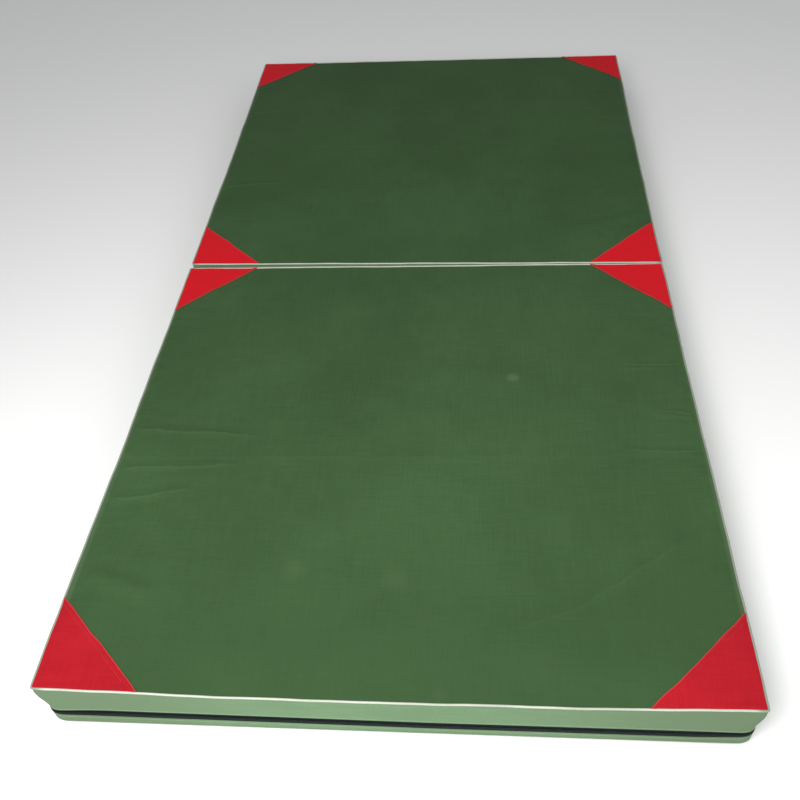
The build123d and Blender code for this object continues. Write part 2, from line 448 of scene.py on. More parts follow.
def worn(rows, panel):
    """Where points of the unworn form of a panel come to lie on the used mat."""
    hinge_way = HINGE_SIDE[panel]
    seed = seam_seed[panel]
    x, y, height = rows.T.copy()
    from_side, from_end, from_hinge = distances(rows)
    near_seam = ease(height, 0.045, seam_height)
    moved = round_corners(rows.copy(), height, -hinge_way * panel_middle)

    pull_back = hinge_gap_left + (hinge_gap_right - hinge_gap_left) * ease(x, -half_width, half_width)
    pull_back = pull_back + waves(x, seed, 0.0009) * ease(from_side, 0, 0.04)
    moved[:, 1] -= hinge_way * pull_back * near_seam * (1 - ease(from_hinge, 0, 0.07))

    on_left = 1 - ease(x, -0.05, 0.05)
    draw_in = hinge_draw_in[-1] * on_left + hinge_draw_in[1] * (1 - on_left)
    spread = end_spread[-1] * on_left + end_spread[1] * (1 - on_left)
    draw_in = (draw_in * (1 - ease(from_hinge, 0, 0.9)) - spread * (1 - ease(from_end, 0, 0.5))) * near_seam
    seam_wave = waves(y, seed + 2 + np.sign(x), 0.0010) * near_seam * (1 - ease(from_side, 0, 0.05))
    moved[:, 0] -= np.sign(x) * (draw_in + seam_wave) * ease(np.abs(x), 0, half_width)

    arch = 1 - (x / half_width) ** 2
    by_end = 1 - ease(from_end, 0, 0.09)
    end_wave = waves(x, seed + 5, 0.0008) * ease(from_side, 0, 0.03)
    moved[:, 1] -= hinge_way * (end_bow[panel] * arch + end_wave) * by_end * ease(height, 0.05, seam_height)
    moved[:, 2] -= (end_dip[panel] * arch + end_wave) * by_end * ease(height, 0.048, seam_height)

    left, middle, right = zip_wander[panel]
    wander = np.interp(x, (-half_width, -0.2, 0.05, half_width), (left, (left + middle) / 2, middle, right))
    round_zip = np.clip(1 - np.abs(height - zip_middle) / 0.028, 0, 1)
    on_end_wall = (1 - ease(from_end, 0, 0.010)) * ease(from_side, 0.004, 0.09)
    from_zip = np.abs(height - zip_middle)
    gape = zip_gape[panel] * ease(from_zip, 0.001, 0.0064) * (1 - ease(from_zip, 0.008, 0.028))
    moved[:, 2] += (wander * round_zip + gape * np.sign(height - zip_middle)) * on_end_wall

    on_top = ease(height, 0.095, seam_height)
    inside = ease(from_side, 0, 0.12) * ease(from_end, 0, 0.12) * ease(from_hinge, 0, 0.12)
    moved[:, 2] += crown * inside * on_top
    seam_lift = waves(x + y * 1.3, seed + 9, 0.0006) * (1 - inside) * near_seam
    moved[:, 2] += seam_lift
    return moved


for panel, form in forms.items():
    move_points(form, worn(rest_points[panel], panel) + fill_moves[panel])
    low, high = points_of(form).min(0), points_of(form).max(0)
    print(form.name, "from", low.round(4), "to", high.round(4))

# %% [markdown]
# ## The cloths of the cover
#
# The form is now cut along its seams. Each cloth is a copy of the form that keeps only its own
# faces; Subdivision Surface rounds them, and Solidify gives the cloth its thickness on the inner
# side, so the outer faces of neighbouring cloths stay flush. The corners of a cut are preserved,
# or three cloths that meet in a point would leave a hole there. Only the top is rounded at its
# corners too, as the piping that goes round them is.

# %% Cut and sew the covers
bodies = {"near": "near_panel", "far": "far_panel"}


def round_off(piece, corners="PRESERVE_CORNERS"):
    """Add one subdivision, which keeps the corners of the cut unless told otherwise."""
    modifier = piece.modifiers.new("round", "SUBSURF")
    modifier.levels = 1
    modifier.render_levels = 1
    modifier.boundary_smooth = corners
    finish_modifiers(piece)


def thicken(piece, thickness, offset=-1):
    """Give a cloth its thickness, inwards unless told otherwise."""
    modifier = piece.modifiers.new("thickness", "SOLIDIFY")
    modifier.thickness = thickness
    modifier.offset = offset
    modifier.use_even_offset = True
    finish_modifiers(piece)
    bpy.ops.object.shade_smooth_by_angle(angle=math.radians(50))


def behind_zip(centres):
    return np.abs(centres[:, 1]) > zip_reach


cover_cuts = {
    "top_sheet": lambda c: c[:, 2] > seam_height - 1e-4,
    "bottom_sheet": lambda c: c[:, 2] < 1e-4,
    "hinge_wall": lambda c: (c[:, 2] > 1e-4) & (c[:, 2] < seam_height - 1e-4) & ~behind_zip(c),
    "lower_band": lambda c: (c[:, 2] > 1e-4) & (c[:, 2] < zip_low) & behind_zip(c),
    "upper_band": lambda c: (c[:, 2] > zip_high) & (c[:, 2] < seam_height - 1e-4) & behind_zip(c),
}
covers = {}
for panel, form in forms.items():
    for cut, keep in cover_cuts.items():
        piece = cut_out(form, f"{panel}_{cut}_cloth", keep)
        round_off(piece, "ALL" if cut == "top_sheet" else "PRESERVE_CORNERS")
        if cut != "top_sheet":
            thicken(piece, cloth)
        covers[panel, cut] = piece
        print(piece.name, len(piece.data.polygons), "faces")

# %% [markdown]
# The top keeps marks that are finer than the form. They are pressed in after the subdivision: each mark is
# a line of a few points, and the cloth rises or sinks beside it by a fraction of a millimetre. Packing
# creases run right across, and short puckers start at the seams. The sharp fold in the middle of a mark is
# finer than the mesh, so the mesh only carries each point's signed distance from the line, as an attribute,
# and the canvas draws the fold from it later, as a bump with a painted highlight on one side of it and
# painted shade on the other.

# %% Press the creases into the tops
def line_distance(rows, line):
    """Each point's signed distance from a line of points, and its share of the way along it."""
    best = np.full(len(rows), 9.0)
    signed = np.zeros(len(rows))
    share = np.zeros(len(rows))
    line = np.array(line, float)
    spans = np.linalg.norm(np.diff(line, axis=0), axis=1)
    gone = np.concatenate([[0], np.cumsum(spans)])
    for start, end, before, span in zip(line[:-1], line[1:], gone, spans):
        along = np.clip((rows - start) @ (end - start) / span**2, 0, 1)
        gap = np.linalg.norm(rows - (start + along[:, None] * (end - start)), axis=1)
        aside = np.cross((end - start) / span, rows - start)
        closer = gap < best
        best[closer] = gap[closer]
        signed[closer] = (gap * np.sign(aside))[closer]
        share[closer] = (before + along[closer] * span) / gone[-1]
    return signed, share


def press(rows, line, height, width, fade_in=0.1, fade_out=0.3):
    """Raise a ridge along a line, with a shallower valley on each side."""
    signed, share = line_distance(rows[:, :2], line)
    gap = np.abs(signed)
    strength = ease(share, 0, fade_in) * (1 - ease(share, 1 - fade_out, 1))
    ridge = np.exp(-((gap / width) ** 2)) - 0.45 * np.exp(-(((gap - 1.9 * width) / width) ** 2))
    rows[:, 2] += height * ridge * strength
    sharpness = 0 if width > soft_mark else height / 0.0015
    return signed, strength * sharpness


soft_mark = 0.012           # a mark wider than this is a roll of the cloth, with no fold in it
marks = {
    "near": [
        ([(-0.428, -0.557), (-0.012, -0.553), (0.470, -0.543)], 0.0004, 0.010),
        ([(0.166, -0.888), (0.273, -0.838), (0.470, -0.694)], 0.0005, 0.011),
        ([(-0.481, -0.803), (-0.430, -0.819), (-0.360, -0.845)], 0.0023, 0.013),
        ([(-0.492, -0.489), (-0.380, -0.498), (-0.244, -0.504)], 0.0011, 0.008),
        ([(-0.492, -0.584), (-0.350, -0.576), (-0.268, -0.571)], 0.0010, 0.007),
        ([(-0.492, -0.654), (-0.420, -0.642), (-0.350, -0.628)], 0.0011, 0.008),
        ([(0.492, -0.317), (0.430, -0.320), (0.364, -0.324)], 0.0010, 0.007),
        ([(0.492, -0.447), (0.440, -0.443), (0.418, -0.441)], 0.0010, 0.007),
        ([(0.492, -0.538), (0.420, -0.537), (0.356, -0.536)], 0.0010, 0.007),
    ],
    "far": [
        ([(-0.491, 0.525), (-0.080, 0.506), (0.473, 0.486)], 0.0004, 0.010),
        ([(0.492, 0.188), (0.400, 0.156), (0.306, 0.124)], 0.0019, 0.013),
        ([(-0.492, 0.330), (-0.420, 0.338), (-0.330, 0.341)], 0.0009, 0.008),
        ([(-0.492, 0.704), (-0.400, 0.712), (-0.330, 0.722)], 0.0009, 0.008),
        ([(0.492, 0.620), (0.420, 0.628), (0.350, 0.631)], 0.0010, 0.008),
        ([(0.492, 0.790), (0.410, 0.783), (0.350, 0.785)], 0.0009, 0.008),
    ],
}
for panel in HINGE_SIDE:
    top = covers[panel, "top_sheet"]
    rows = points_of(top)
    crease = np.full((len(rows), 3), 1.0)
    for line, height, width in marks[panel]:
        signed, strength = press(rows, line, height, width)
        closer = np.abs(signed) < np.abs(crease[:, 0])
        crease[closer, 0] = signed[closer]
        crease[closer, 1] = strength[closer]
    write_attribute(top, "crease", crease)
    move_points(top, rows)
    print(top.name, "has", len(marks[panel]), "pressed marks, highest point", round(rows[:, 2].max(), 4))

# %% [markdown]
# ## Corner patches
#
# The red patches are sewn on top of the green canvas, in the angle of two seams. Each is cut from
# a copy of the top, so it lies on every pucker, with one upright cut along its long edge. That
# edge is turned under, which makes it thicker there; a second cut marks where the turn ends.

# %% Cut the patches
patch_leg = 0.150
patch_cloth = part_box("near_patch_end_left")[1].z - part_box("near_patch_end_left")[0].z
hem_width = 0.009
patch_line = half_width + half_length - patch_leg       # |x| + |y| from the panel's middle, on the edge


def into_patch(rows, panel):
    """How far points are inside the long edge of the nearest patch."""
    middle = -HINGE_SIDE[panel] * panel_middle
    return (np.abs(rows[:, 0]) + np.abs(rows[:, 1] - middle) - patch_line) / math.sqrt(2)


def corner_signs(panel, corner):
    """The ways along X and Y from a panel's middle to one of its corners."""
    end, side = corner.split("_")
    sign_y = HINGE_SIDE[panel] if end == "hinge" else -HINGE_SIDE[panel]
    return (-1 if side == "left" else 1), sign_y


def slice_at(piece, panel, signs, depth, clear):
    """Cut a piece upright, parallel to a patch's long edge and a depth inside it."""
    middle = -HINGE_SIDE[panel] * panel_middle
    sign_x, sign_y = signs
    away = half_width - patch_leg / 2 + depth / math.sqrt(2)
    place = (sign_x * away, middle + sign_y * (away - half_width + half_length), 0)
    pick(piece, "FACE", np.ones(len(piece.data.polygons), bool))
    bpy.ops.mesh.bisect(plane_co=place, plane_no=(sign_x, sign_y, 0), clear_inner=clear)


patches = {}
for panel in HINGE_SIDE:
    middle = -HINGE_SIDE[panel] * panel_middle
    for corner in ("end_left", "end_right", "hinge_left", "hinge_right"):
        sign_x, sign_y = corner_signs(panel, corner)
        reach = patch_leg + 0.02
        patch = cut_out(
            covers[panel, "top_sheet"],
            f"{panel}_patch_{corner}_cloth",
            lambda c: (c[:, 0] * sign_x > half_width - reach)
            & ((c[:, 1] - middle) * sign_y > half_length - reach),
        )
        slice_at(patch, panel, (sign_x, sign_y), 0, clear=True)
        bpy.ops.object.mode_set(mode="OBJECT")
        slice_at(patch, panel, (sign_x, sign_y), hem_width, clear=False)
        bpy.ops.object.mode_set(mode="OBJECT")
        rows = points_of(patch)
        depth = into_patch(rows, panel)
        write_attribute(patch, "depth", np.stack([depth, depth, depth], axis=1))
        rows[:, 2] += 0.0007 * (1 - ease(depth, hem_width * 0.5, hem_width)) + 0.00005
        along = rows[:, 0] * sign_x - rows[:, 1] * sign_y
        uneven = waves(along, seam_seed[panel] + sign_x, 0.0016) * (1 - ease(depth, 0, 0.03))
        rows[:, 0] += sign_x * uneven
        rows[:, 1] += sign_y * uneven
        move_points(patch, rows)
        patches[panel, corner] = patch
    print(panel, "patches with legs of", patch_leg)

# %% [markdown]
# ## Rows of stitches, and the piping's path
#
# A line along the cloth becomes a curve: its edges are copied out of the mesh and converted. The
# curve is then turned into a NURBS curve, which runs smoothly past its points as the subdivided
# cloth does. A stitch or a zip tooth is modelled once; Array repeats it and Curve bends the row.

# %% Helpers for paths and rows
def path_from(piece, name, wanted, smooth=True):
    """Make a curve of the wanted edges of a piece."""
    path = copy_of(piece, name)
    pick(path, "EDGE", ~wanted)
    bpy.ops.mesh.delete(type="EDGE")
    bpy.ops.object.mode_set(mode="OBJECT")
    only(path)
    bpy.ops.object.convert(target="CURVE")
    path.data.dimensions = "3D"
    path.data.twist_mode = "Z_UP"
    if smooth:
        bpy.ops.object.mode_set(mode="EDIT")
        bpy.ops.curve.select_all(action="SELECT")
        bpy.ops.curve.spline_type_set(type="NURBS")
        bpy.ops.object.mode_set(mode="OBJECT")
        for spline in path.data.splines:
            spline.order_u = 4
            spline.use_endpoint_u = not spline.use_cyclic_u
            spline.resolution_u = 3
    return path


def ring_edges(form, height, reach=0.0):
    """The edges that run round a form at one height, at least a reach from the hinge line."""
    cut = attribute_of(form, "cut")
    ends = edge_ends(form)
    from_side, from_end, from_hinge = distances(cut)
    levels, insets = zip(*side_rows())
    inset = np.interp(height, levels, insets) + 1e-4
    on_wall = np.minimum(from_side, np.minimum(from_end, from_hinge)) < inset
    at_height = np.abs(cut[:, 2] - height) < 1e-4
    wanted = on_wall & at_height & (np.abs(cut[:, 1]) > reach - 1e-4)
    return wanted[ends].all(axis=1)


def row_along(unit, path, pitch, name):
    """Repeat a unit along a path, with its own mesh, and remove the path."""
    row = copy_of(unit, name)
    array = row.modifiers.new("repeat", "ARRAY")
    array.fit_type = "FIT_CURVE"
    array.curve = path
    array.use_relative_offset = False
    array.use_constant_offset = True
    array.constant_offset_displace = (pitch, 0, 0)
    bend = row.modifiers.new("bend", "CURVE")
    bend.object = path
    bend.deform_axis = "POS_X"
    finish_modifiers(row)
    bpy.data.objects.remove(path)
    return row


# %% [markdown]
# The piping is a cord wrapped in vinyl, sewn into the seam all round the top of each panel. It is
# the ring of the form at the height of the seam, bevelled to a round section.

# %% Make the piping
pipings = {}
for panel, form in forms.items():
    piping = path_from(form, f"{panel}_piping_cord", ring_edges(form, seam_height))
    piping.data.bevel_depth = piping_radius - 0.0003     # drawn in a little by its stitches
    piping.data.bevel_resolution = 2
    only(piping)
    bpy.ops.object.convert(target="MESH")
    bpy.ops.object.shade_smooth()
    pipings[panel] = piping
    print(piping.name, len(piping.data.polygons), "faces")

# %% [markdown]
# ## The zip
#
# Each zip runs round three walls. Its two woven tapes are sewn behind the bands, and a nylon coil
# is woven onto the edge of each. The tapes are the form's own rows behind the zip, pushed in by
# the thickness of the cloth. A coil is drawn as one loop per tooth: a short bar, rounded by a
# bevel. A narrow slot stays open between the two rows, where the slider's wedge runs.

# %% Make the tapes
tape_thickness = 0.0007
tapes = {}
tape_cuts = {
    "lower": lambda c: (c[:, 2] > tape_low) & (c[:, 2] < row_low),
    "upper": lambda c: (c[:, 2] > row_high) & (c[:, 2] < tape_high),
}
for panel, form in forms.items():
    for half, keep in tape_cuts.items():
        tape = cut_out(
            form,
            f"{panel}_zip_tape_{half}_weave",
            lambda c: keep(c) & (np.abs(c[:, 1]) > zip_reach - 0.010),
        )
        pick(tape, "FACE", np.ones(len(tape.data.polygons), bool))
        bpy.ops.transform.shrink_fatten(value=-(cloth + 0.0001))
        bpy.ops.object.mode_set(mode="OBJECT")
        round_off(tape)
        thicken(tape, tape_thickness)
        tapes[panel, half] = tape
        print(tape.name, len(tape.data.polygons), "faces")

# %% Make one tooth and lay the rows
tooth_pitch = 0.0022        # a real coil has about 1.3 mm, which is too fine to show
tooth_width = 0.0012
coil_low, coil_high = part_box("near_zip_teeth_lower")
tooth_height = coil_high.z - coil_low.z
tooth_depth = 2 * (coil_high.x - half_width) - 0.0001
row_middle = {"lower": row_low - tooth_height / 2, "upper": row_high + tooth_height / 2}


def make_tooth():
    """One loop of the coil: a short upright bar with rounded ends."""
    bpy.ops.object.select_all(action="DESELECT")
    bpy.ops.mesh.primitive_cube_add(size=1, location=(tooth_width / 2, 0, 0))
    tooth = bpy.context.object
    bpy.ops.object.mode_set(mode="EDIT")
    size = (tooth_width, tooth_depth, tooth_height)
    bpy.ops.transform.resize(value=size, center_override=(tooth_width / 2, 0, 0))
    bpy.ops.mesh.bevel(offset=0.00032, segments=1, affect="EDGES")
    bpy.ops.object.mode_set(mode="OBJECT")
    settle(tooth)
    print("tooth has", len(tooth.data.polygons), "faces")
    return tooth


tooth = make_tooth()
teeth = {}
for panel, form in forms.items():
    for half, level in row_middle.items():
        path = path_from(form, "tooth_path", ring_edges(form, row_low, teeth_reach))
        points = path.data.splines[0].points
        for point in points:
            point.co.z += level - row_low
        row = row_along(tooth, path, tooth_pitch, f"{panel}_zip_coil_{half}")
        teeth[panel, half] = row
        low, high = points_of(row).min(0), points_of(row).max(0)
        print(row.name, "from", low.round(4), "to", high.round(4))

# %% [markdown]
# ## Stitches
#
# Every seam that shows is sewn with thick thread: along both hems of the zip, along the long edges
# of the patches and beside the seams between the hinge wall and the bands. One stitch is a bar
# that narrows at both ends, where it dives into the cloth. Array gives each row its spacing.

# %% Make one stitch and sew the zip's hems
stitch_length = 0.0034
stitch_pitch = 0.0046       # about 5 stitches to the inch, coarser than real so that they show
thread_width = 0.0008


def make_stitch():
    """A bar of thread, thinner at its ends."""
    bpy.ops.object.select_all(action="DESELECT")
    bpy.ops.mesh.primitive_cylinder_add(vertices=6, radius=thread_width / 2, depth=stitch_length)
    stitch = bpy.context.object
    bpy.ops.object.mode_set(mode="EDIT")
    bpy.ops.mesh.select_all(action="SELECT")
    bpy.ops.transform.rotate(value=math.pi / 2, orient_axis="Y", center_override=(0, 0, 0))
    bpy.ops.object.mode_set(mode="OBJECT")
    caps = np.array([abs(face.normal.x) > 0.9 for face in stitch.data.polygons])
    pick(stitch, "FACE", caps)
    bpy.ops.mesh.inset(thickness=thread_width * 0.2, depth=0.0004)
    bpy.ops.object.mode_set(mode="OBJECT")
    rows = points_of(stitch)
    rows[:, 0] += stitch_length / 2
    move_points(stitch, rows)
    settle(stitch)
    print("stitch has", len(stitch.data.polygons), "faces")
    return stitch


stitch = make_stitch()
stitches = {}
for panel, form in forms.items():
    for half, level in (("lower", zip_low - stitch_inset), ("upper", zip_high + stitch_inset)):
        path = path_from(form, "stitch_path", ring_edges(form, level, zip_reach))
        row = row_along(stitch, path, stitch_pitch, f"{panel}_zip_stitches_{half}")
        stitches[row.name] = (row, panel)
        print(row.name, len(row.data.polygons), "faces")

# %% [markdown]
# The rows on the patches follow a cut across each patch. Bisect leaves its new edges selected, so
# they are copied out as the path of the row. Each patch has two rows, one near the fold of its
# hem and one where the hem ends.

# %% Sew the patches
def cut_line(piece, panel, signs, depth):
    """The edges that an upright cut at a depth inside a patch makes, as a curve."""
    copy = copy_of(piece, "cut_path")
    slice_at(copy, panel, signs, depth, clear=False)
    bpy.ops.object.mode_set(mode="OBJECT")
    ends = edge_ends(copy)
    on_cut = np.abs(into_patch(points_of(copy), panel) - depth) < 1e-5
    path = path_from(copy, "stitch_path", on_cut[ends].all(axis=1))
    bpy.data.objects.remove(copy)
    return path


for (panel, corner), patch in patches.items():
    signs = corner_signs(panel, corner)
    for number, depth in enumerate((0.0022, 0.0076)):
        path = cut_line(patch, panel, signs, depth)
        row = row_along(stitch, path, stitch_pitch, f"{panel}_patch_{corner}_stitches_{number}")
        rows = points_of(row)
        rows[:, 2] += patch_cloth
        move_points(row, rows)
        stitches[row.name] = (row, panel)
for panel in HINGE_SIDE:
    for corner in ("end_left", "end_right", "hinge_left", "hinge_right"):
        thicken(patches[panel, corner], patch_cloth, offset=1)
    thicken(covers[panel, "top_sheet"], cloth)
print(len(stitches), "rows of stitches")

# %% [markdown]
# ## The hinge strip
#
# One strip of the side canvas joins the panels. Its two edges are sewn flat on the hinge walls,
# just under the piping, and it crosses the gap in between. The strip is a long grid, folded by
# giving each of its lines a place across the gap: up the near wall, over in a low arch, and down
# the far wall. The walls are worn, so the worn wall's own place is used for each point.

# %% Make the hinge strip
strip_low, strip_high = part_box("hinge_strip")
strip_cloth = 0.0008
strip_lines = 14            # faces across the strip
flange_lines = 4            # of them, on each wall


def fold_strip(rows, panel_rows):
    """Give each point of the flat strip its place on the walls or across the gap."""
    near_wall, far_wall = panel_rows
    step = np.rint(rows[:, 1] * strip_lines).astype(int)
    wall_top = strip_high.z - 0.0030
    folded = rows.copy()
    for line in range(strip_lines + 1):
        here = step == line
        x = rows[here, 0]
        if line <= flange_lines or line >= strip_lines - flange_lines:
            share = min(line, strip_lines - line) / flange_lines
            height = np.full(len(x), strip_low.z + (wall_top - strip_low.z) * share)
            wall = near_wall if line <= flange_lines else far_wall
            side = 1 if line <= flange_lines else -1
            folded[here, 1] = wall(x, height)[:, 1] + side * (0.0003 + strip_cloth / 2)
            folded[here, 2] = height
        else:
            share = (line - flange_lines) / (strip_lines - 2 * flange_lines)
            top = np.full(len(x), wall_top)
            start = near_wall(x, top)[:, 1] + 0.0003 + strip_cloth / 2
            end = far_wall(x, top)[:, 1] - 0.0003 - strip_cloth / 2
            gap = end - start
            arch = 0.0036 - 0.10 * gap + waves(x, 3.0, 0.0004)
            round_over = math.sin(math.pi * share) ** 0.6
            folded[here, 1] = start + gap * (1 - math.cos(math.pi * share)) / 2
            folded[here, 2] = top + arch * round_over
    return folded


def wall_of(panel):
    """A function that gives the worn place of points on a panel's hinge wall."""
    way = HINGE_SIDE[panel]

    def place(x, height):
        y = np.full(len(x), -way * (panel_middle - half_length))
        return worn(np.stack([x, y, height], axis=1), panel)

    return place


bpy.ops.object.select_all(action="DESELECT")
bpy.ops.mesh.primitive_grid_add(x_subdivisions=192, y_subdivisions=strip_lines, size=1)
strip = bpy.context.object
strip.name = "hinge_strip_cloth"
bpy.ops.object.mode_set(mode="EDIT")
bpy.ops.transform.resize(value=(strip_high.x - strip_low.x, 1, 1), center_override=(0, 0, 0))
bpy.ops.transform.translate(value=(0, 0.5, 0))
bpy.ops.object.mode_set(mode="OBJECT")
settle(strip)
move_points(strip, fold_strip(points_of(strip), (wall_of("near"), wall_of("far"))))
thicken(strip, strip_cloth, offset=0)
print(strip.name, "from", points_of(strip).min(0).round(4), "to", points_of(strip).max(0).round(4))

# %% [markdown]
# ## The foam
#
# Each cover holds two layers: a firm block that carries the load and a softer sheet on top. They
# fill the worn cover, so they are the form itself, drawn in by the cloth and tape around them, and
# cut level at the glue line.

# %% Fill the covers with foam
foam_draw_in = cloth + tape_thickness + 0.0006
glue_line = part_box("near_foam_block")[1].z
foams = {}
for panel, form in forms.items():
    for layer in ("foam_block", "foam_sheet"):
        foam = copy_of(form, f"{panel}_{layer}_core")
        pick(foam, "FACE", np.ones(len(foam.data.polygons), bool))
        bpy.ops.transform.shrink_fatten(value=-foam_draw_in)
        below = layer == "foam_sheet"
        bpy.ops.mesh.bisect(
            plane_co=(0, 0, glue_line),
            plane_no=(0, 0, 1),
            use_fill=True,
            clear_inner=below,
            clear_outer=not below,
        )
        bpy.ops.object.mode_set(mode="OBJECT")
        bpy.ops.object.shade_smooth_by_angle(angle=math.radians(50))
        foams[panel, layer] = foam
        print(foam.name, len(foam.data.polygons), "faces")

for spare in (*forms.values(), tooth, stitch):
    bpy.data.objects.remove(spare)

# %% [markdown]
# ## Materials
#
# Every finish below is a small tree of nodes. One function adds a node with its settings and its
# links, and one turns an ordinary sRGB hex colour into the linear numbers that Blender wants.

# %% Helpers for materials
def linear(hex_colour):
    """Turn an sRGB hex colour such as "#4a6b40" into linear red, green, blue and alpha."""
    channels = [int(hex_colour[i : i + 2], 16) / 255 for i in (1, 3, 5)]
    return (*[c / 12.92 if c <= 0.04045 else ((c + 0.055) / 1.055) ** 2.4 for c in channels], 1)


def add(tree, kind, *values, output=None, **settings):
    """Add a node and give one of its outputs: values fill its inputs in order, names the others."""
    made = tree.nodes.new("ShaderNode" + kind)
    named = []
    for name, value in settings.items():
        if hasattr(made, name):
            setattr(made, name, value)
        else:
            named.append((made.inputs[name.replace("_", " ")], value))
    in_order = zip([socket for socket in made.inputs if socket.enabled], values)
    for socket, value in [*in_order, *named]:
        if isinstance(value, bpy.types.NodeSocket):
            tree.links.new(value, socket)
        else:
            socket.default_value = linear(value) if isinstance(value, str) else value
    if output:
        return made.outputs[output]
    return next(socket for socket in made.outputs if socket.enabled)


def finish_of(name, roughness, **settings):
    """A new material with its shader, ready for the nodes of its finish."""
    material = bpy.data.materials.new(name)
    material.use_nodes = True
    tree = material.node_tree
    shader = tree.nodes["Principled BSDF"]
    shader.inputs["Roughness"].default_value = roughness
    for key, value in settings.items():
        shader.inputs[key.replace("_", " ")].default_value = value
    return material, tree, shader


# %% [markdown]
# The covers are polyester canvas with a thin coat of vinyl on the back. It is a plain weave: each
# thread goes over one and under the next. Its colour is uneven in two ways, in broad clouds where
# it has been handled and in a fine speckle from the threads. The real threads are about 0.6 mm
# apart, which is too fine to show, so they are drawn four times as coarse.

# %% The canvases
THREAD_MM = 2.4


def plain_weave(tree, across, along, pitch_mm=THREAD_MM):
    """The height of a plain weave: the product of two waves, one for each set of threads."""
    turns = 2 * math.pi / (pitch_mm / 1000)
    warp = add(
        tree,
        "Math",
        add(tree, "Math", across, turns / 2, operation="MULTIPLY"),
        operation="SINE",
    )
    weft = add(
        tree,
        "Math",
        add(tree, "Math", along, turns / 2, operation="MULTIPLY"),
        operation="SINE",
    )
    return add(tree, "Math", warp, weft, operation="MULTIPLY")


def canvas(name, colour, dark, light, roughness, on_wall=False, bump=0.00012, extra=None):
    """A coated canvas: its weave, its clouds and its speckle, on a top or on a wall."""
    material, tree, shader = finish_of(
        name, roughness, Specular_IOR_Level=0.09, Sheen_Weight=0.02, Sheen_Roughness=0.45
    )
    place = add(tree, "TexCoord", output="Object")
    axes = add(tree, "SeparateXYZ", Vector=place).node.outputs
    across = add(tree, "Math", axes[0], axes[1], operation="ADD") if on_wall else axes[0]
    along = axes[2] if on_wall else axes[1]
    weave = plain_weave(tree, across, along)
    clouds = add(tree, "TexNoise", place, 5.0, 3.0, 0.55)
    speckle = add(tree, "TexNoise", place, 420.0, 2.0, 0.7)
    slubs = add(tree, "TexNoise", add(tree, "Mapping", place, Scale=(22, 300, 300)), 1.0, 2.0, 0.6)
    ends = add(tree, "TexNoise", add(tree, "Mapping", place, Scale=(300, 16, 300)), 1.0, 2.0, 0.6)
    shade = add(
        tree,
        "Mix",
        add(tree, "MapRange", clouds, 0.3, 0.7, interpolation_type="SMOOTHSTEP"),
        dark,
        light,
        data_type="RGBA",
    )
    shade = add(
        tree,
        "Mix",
        add(tree, "MapRange", speckle, 0.25, 0.75, 0.15, 0.55, interpolation_type="SMOOTHSTEP"),
        shade,
        colour,
        data_type="RGBA",
    )
    threads = add(tree, "Math", weave, 0.035, operation="MULTIPLY")
    uneven = add(
        tree,
        "Math",
        add(tree, "Math", slubs, ends, operation="ADD"),
        1.0,
        operation="SUBTRACT",
    )
    fine = add(
        tree,
        "Math",
        threads,
        add(tree, "Math", uneven, 0.24, operation="MULTIPLY"),
        operation="ADD",
    )
    value = add(tree, "Math", fine, 1.0, operation="ADD")
    toned = add(tree, "HueSaturation", Value=value, Color=shade)
    height = add(
        tree,
        "Math",
        add(tree, "Math", weave, 0.5, operation="MULTIPLY"),
        add(tree, "Math", speckle, 0.8, operation="MULTIPLY"),
        operation="ADD",
    )
    rough = add(
        tree,
        "MapRange",
        clouds,
        0.3,
        0.7,
        roughness - 0.05,
        roughness + 0.06,
        interpolation_type="SMOOTHSTEP",
    )
    if extra:
        toned, height = extra(tree, axes, toned, height)
    bumped = add(tree, "Bump", Strength=0.6, Distance=bump, Height=height)
    tree.links.new(toned, shader.inputs["Base Color"])
    tree.links.new(rough, shader.inputs["Roughness"])
    tree.links.new(bumped, shader.inputs["Normal"])
    return material


